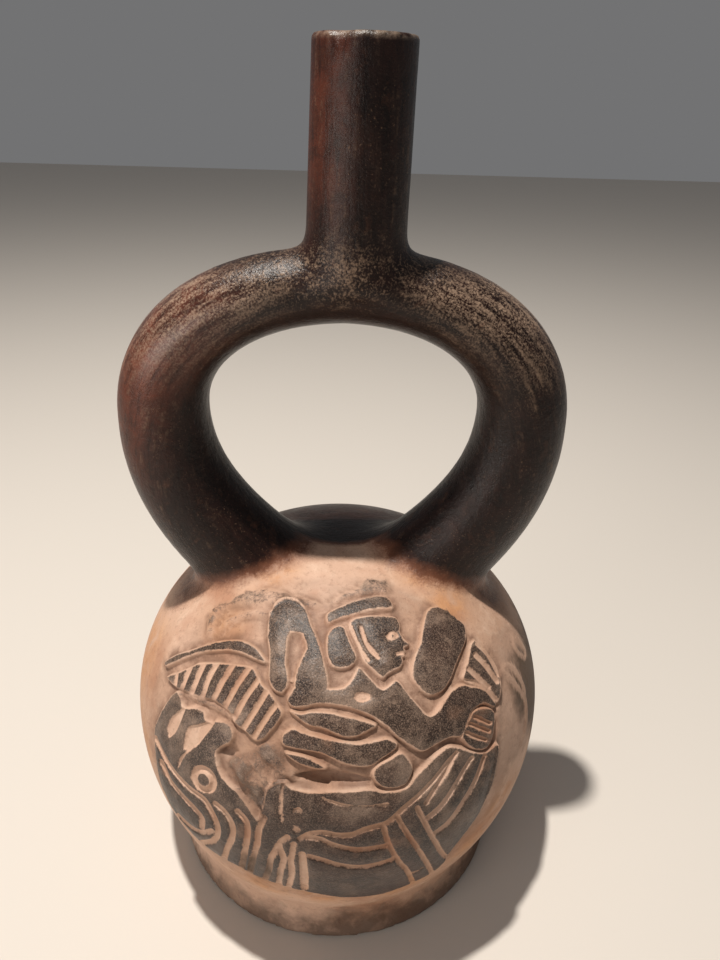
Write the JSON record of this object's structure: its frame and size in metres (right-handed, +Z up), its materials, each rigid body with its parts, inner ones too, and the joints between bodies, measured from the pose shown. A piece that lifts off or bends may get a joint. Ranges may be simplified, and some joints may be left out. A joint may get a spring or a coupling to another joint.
{
  "type": "stirrup spout vessel",
  "caption": "Hollow fired-clay bottle: round chamber on a low foot with a pressed relief scene, a looped stirrup tube and a straight pouring spout.",
  "frame": {"origin": "middle of the flat underside of the foot, on the chamber's axis", "axes": "+Z up through the chamber, -Y towards the pressed scene, +X to the right along the stirrup"},
  "size_m": [0.15, 0.1517, 0.28],
  "materials": {
    "slipped_clay": "burnished dark slip on the stirrup and spout, worn charcoal slip on the relief, bare buff clay on the ground"
  },
  "bodies": {
    "root": {"stirrup_spout_vessel": "slipped_clay"}
  },
  "joints": []
}
